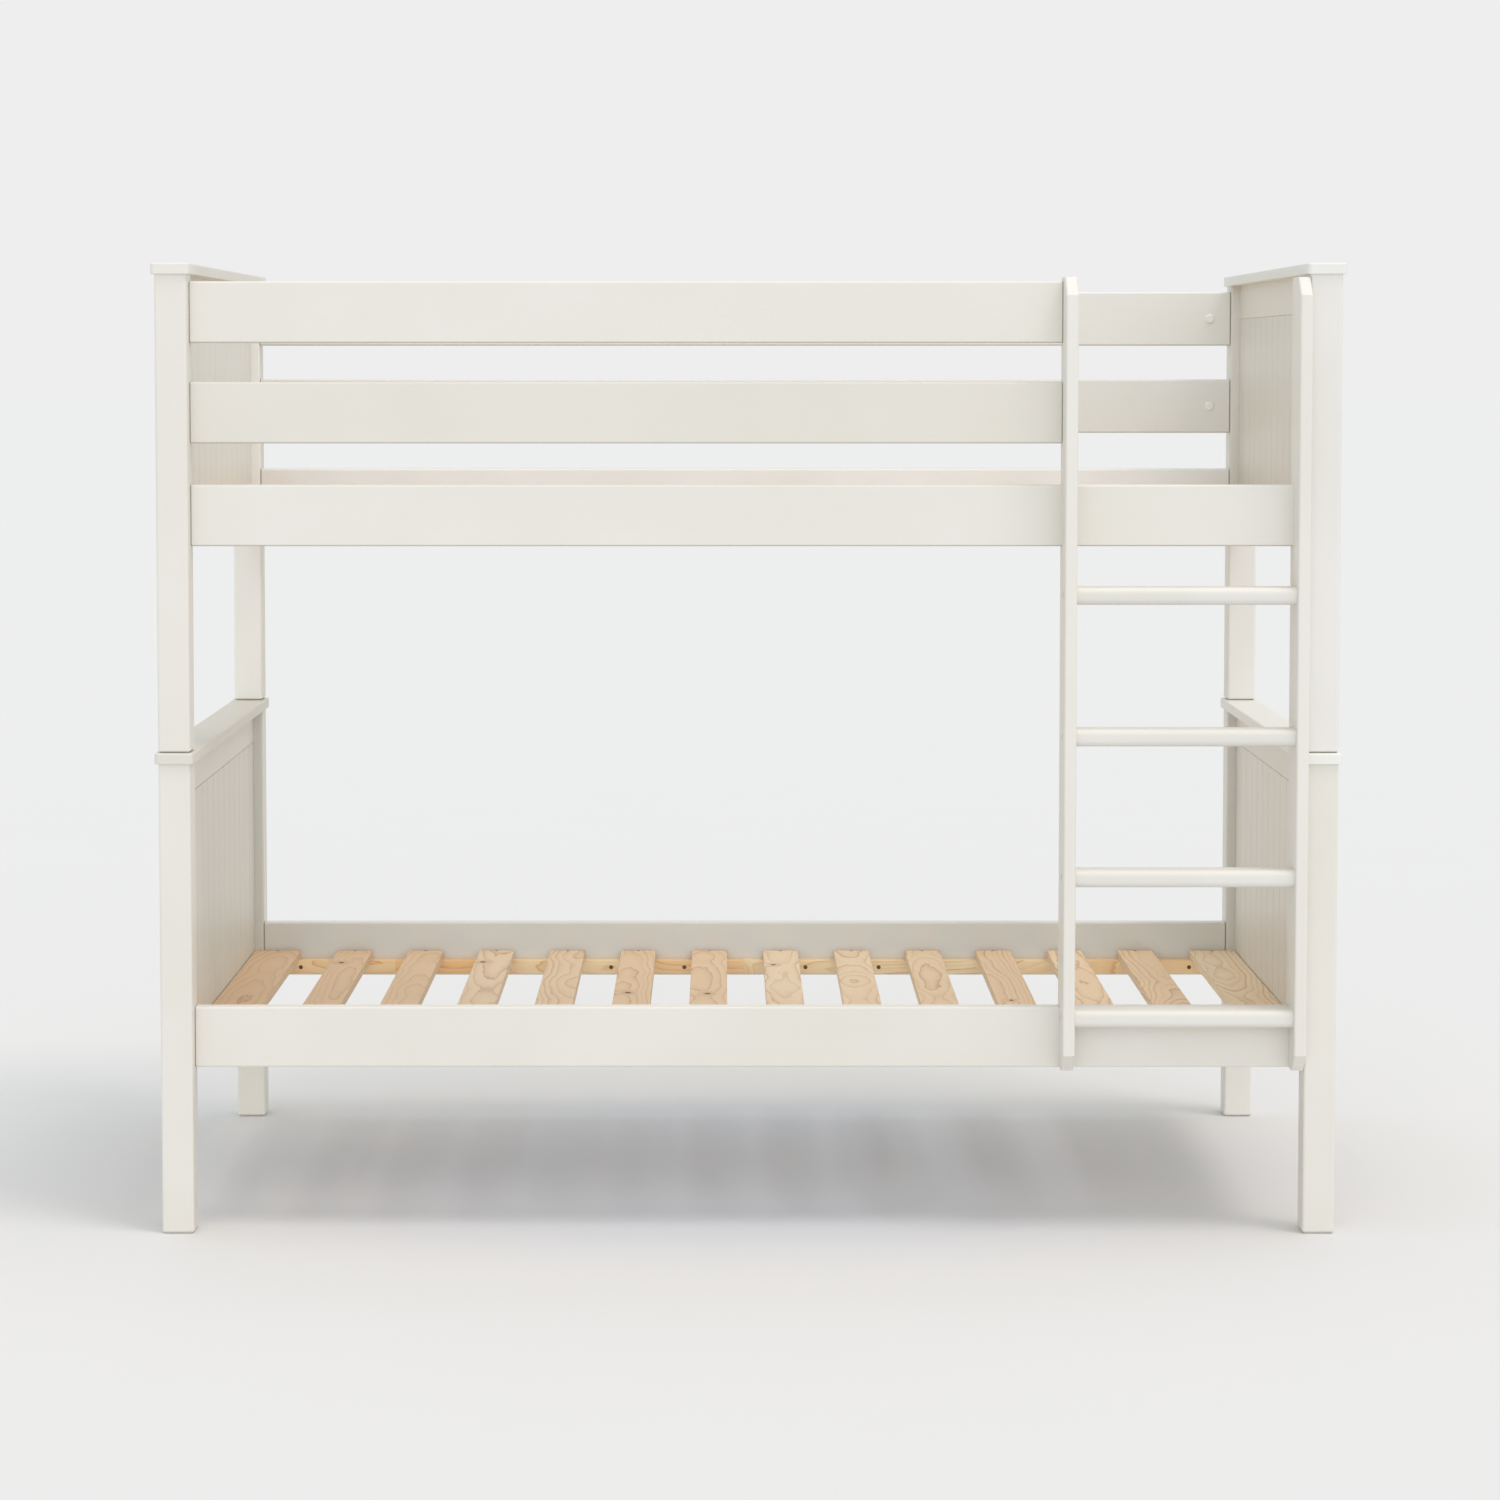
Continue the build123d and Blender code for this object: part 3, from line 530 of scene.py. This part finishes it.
def painted_piece(name, number):
    low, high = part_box(name)
    along, joints, tinted, panel = long_axis(low, high), None, None, None
    # masks for painted shade in grooves, chamfers and under rails
    if name.endswith("panel_boards"):
        along, joints = "Z", board_groove_shade(low, high)
    elif name.endswith(("side_rail", "guard_rail")):
        underside = LOWER_UNDERSIDE if name.startswith("lower") else UPPER_UNDERSIDE
        joints = rail_end_and_underside_shade(low, high, underside)
    elif name.startswith("upper") and name.endswith("post"):
        joints = foot_chamfer_shade(low)
    # where the piece's painted light and shade tint goes
    if "back" in name:
        tinted = inner_face(low)
    elif "tread" in name:
        tinted = lower_half(low, high)
    elif name.endswith("panel_boards"):
        tinted = panel_face(low, high)
    if name in PANEL_LIGHT_AND_SHADE_TINTS:
        slats_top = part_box(name.split("_")[0] + "_slats")[1].z
        panel = (slats_top, PANEL_LIGHT_AND_SHADE_TINTS[name])
    return paint("paint_" + name, along, number, LIGHT_AND_SHADE_TINTS.get(name), tinted, joints, panel)


def slats_piece(name, number):
    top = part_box(name)[1].z * MM
    return pine("pine_" + name, slat_cells(SLAT_SEED_STEP * number, top), PINE, PINE_RING,
                SLAT_PAINTED_SHADE)


def batten_piece(name, number):
    low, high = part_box(name)
    edge = (high if "front" in name else low).y * MM
    cells = batten_cells(float(number), edge, (low.z + high.z) / 2 * MM)
    return pine("pine_" + name, cells, YELLOW_PINE, BATTEN_RING, BATTEN_TONE_AND_PAINTED_SHADE)


def dress_all():
    """Gives each CAD node one material in place of its plain ones."""
    shared = {
        "zinc": metal("zinc_plate", ZINC, ZINC_ROUGHNESS),
        "dark_steel": metal("bronze_passivated", BRONZE, BRONZE_ROUGHNESS),
        "white_plastic": plastic("moulded_white"),
        "beech": pine("beech_dowel", dowel_cells, BEECH, BEECH_RING),
    }
    own = {"painted_wood": painted_piece, "pine": slats_piece, "batten_pine": batten_piece}
    slots = {row["node"]: row["material_slot"] for row in frame["record"]["subparts"]}
    for number, name in enumerate(sorted(slots)):
        slot = slots[name]
        material = own[slot](name, number) if slot in own else shared[slot]
        data = nodes[name].data
        data.materials.clear()
        data.materials.append(material)


dress_all()


# ---------------------------------------------------------------- floor, light and camera

FLOOR_TONE = (0.736, 0.728, 0.719, 1.0)
FLOOR_DEEP = (0.733, 0.725, 0.716, 1.0)
FLOOR_COOL = (0.638, 0.684, 0.758, 1.0)
FLOOR_CLOUD_SCALE = 0.002
FLOOR_RADIUS = 150.0             # metres
FLOOR_DROP = 0.0005              # below the feet, in metres
# The cool patch: half its length and width in millimetres, and its fade in shares of those
COOL_HALF_LENGTH, COOL_HALF_WIDTH = 1150.0, 720.0
COOL_FADE = (0.3, 1.15)

BACKDROP = (0.855, 0.855, 0.855, 1.0)    # what the camera sees past the floor, as pale as it
SKY = (0.722, 0.789, 0.818, 1.0)         # what lights the scene
KEY_COLOUR = (1.0, 0.885, 0.84)
FILL_COLOUR = (1.0, 0.94, 0.98)
# Name, strength, colour, softness, and tilt about X and Y from straight down, in degrees
SUNS = (
    ("front_key", 0.68, KEY_COLOUR, 20, (14, 24)),
    ("overhead_key", 0.60, KEY_COLOUR, 50, (4, 6)),
    ("front_fill", 0.66, FILL_COLOUR, 60, (76, 8)),
)

CAMERA_AT = (-0.044, -6.6024, 1.4981)    # metres
CAMERA_DOWN = 3.302                      # degrees below level
LENS, SENSOR = 86.065, 36.0              # millimetres
SHIFT = (0.0182, -0.12)                  # in widths of the picture
CLIP = (0.1, 500.0)                      # metres


def make_floor():
    """A wide pale floor, a disc with its edge far out of sight."""
    mesh = bpy.data.meshes.new("studio_floor")
    shape = bmesh.new()
    bmesh.ops.create_circle(shape, cap_ends=True, segments=128, radius=FLOOR_RADIUS)
    shape.to_mesh(mesh)
    shape.free()
    floor = bpy.data.objects.new("studio_floor", mesh)
    floor.location.z = -FLOOR_DROP
    bpy.context.scene.collection.objects.link(floor)
    g = Graph("studio_floor")
    at = g.place()
    cloud = g.noise(at, FLOOR_CLOUD_SCALE)
    tone = g.mix(g.smooth(cloud, *NOISE_SPAN), FLOOR_DEEP, FLOOR_TONE)
    # a cooler, slightly darker patch under the bed, painted against the warm light that its slats
    # throw down and as painted shade
    x, y, z = g.split(at)
    reach = g.hypotenuse(g.math("DIVIDE", x, COOL_HALF_LENGTH),
                         g.math("DIVIDE", y, COOL_HALF_WIDTH))
    g.give("Base Color", g.mix(g.fade(reach, *COOL_FADE), tone, FLOOR_COOL))
    g.give("Roughness", 0.9)
    g.give("Specular IOR Level", 0.0)
    mesh.materials.append(g.material)


def make_light():
    """A sky that lights the scene, seen by the camera as a plain backdrop, and soft suns."""
    world = bpy.data.worlds.new("studio")
    world.use_nodes = True
    tree = world.node_tree
    glow = tree.nodes["Background"]
    glow.inputs["Color"].default_value = SKY
    seen = tree.nodes.new("ShaderNodeBackground")
    seen.inputs["Color"].default_value = BACKDROP
    path = tree.nodes.new("ShaderNodeLightPath")
    choose = tree.nodes.new("ShaderNodeMixShader")
    tree.links.new(path.outputs["Is Camera Ray"], choose.inputs[0])
    tree.links.new(glow.outputs[0], choose.inputs[1])
    tree.links.new(seen.outputs[0], choose.inputs[2])
    tree.links.new(choose.outputs[0], tree.nodes["World Output"].inputs["Surface"])
    bpy.context.scene.world = world
    for name, strength, colour, softness, tilt in SUNS:
        sun = bpy.data.lights.new(name, "SUN")
        sun.energy, sun.color, sun.angle = strength, colour, math.radians(softness)
        lamp = bpy.data.objects.new(name, sun)
        lamp.rotation_euler = (math.radians(tilt[0]), math.radians(tilt[1]), 0.0)
        bpy.context.scene.collection.objects.link(lamp)


def make_camera():
    lens = bpy.data.cameras.new("camera")
    lens.sensor_width, lens.lens = SENSOR, LENS
    lens.shift_x, lens.shift_y = SHIFT
    lens.clip_start, lens.clip_end = CLIP
    camera = bpy.data.objects.new("camera", lens)
    camera.location = CAMERA_AT
    camera.rotation_euler = (math.radians(90 - CAMERA_DOWN), 0.0, 0.0)
    bpy.context.scene.collection.objects.link(camera)
    bpy.context.scene.camera = camera


make_floor()
make_light()
make_camera()
bpy.context.scene.view_settings.view_transform = "Standard"
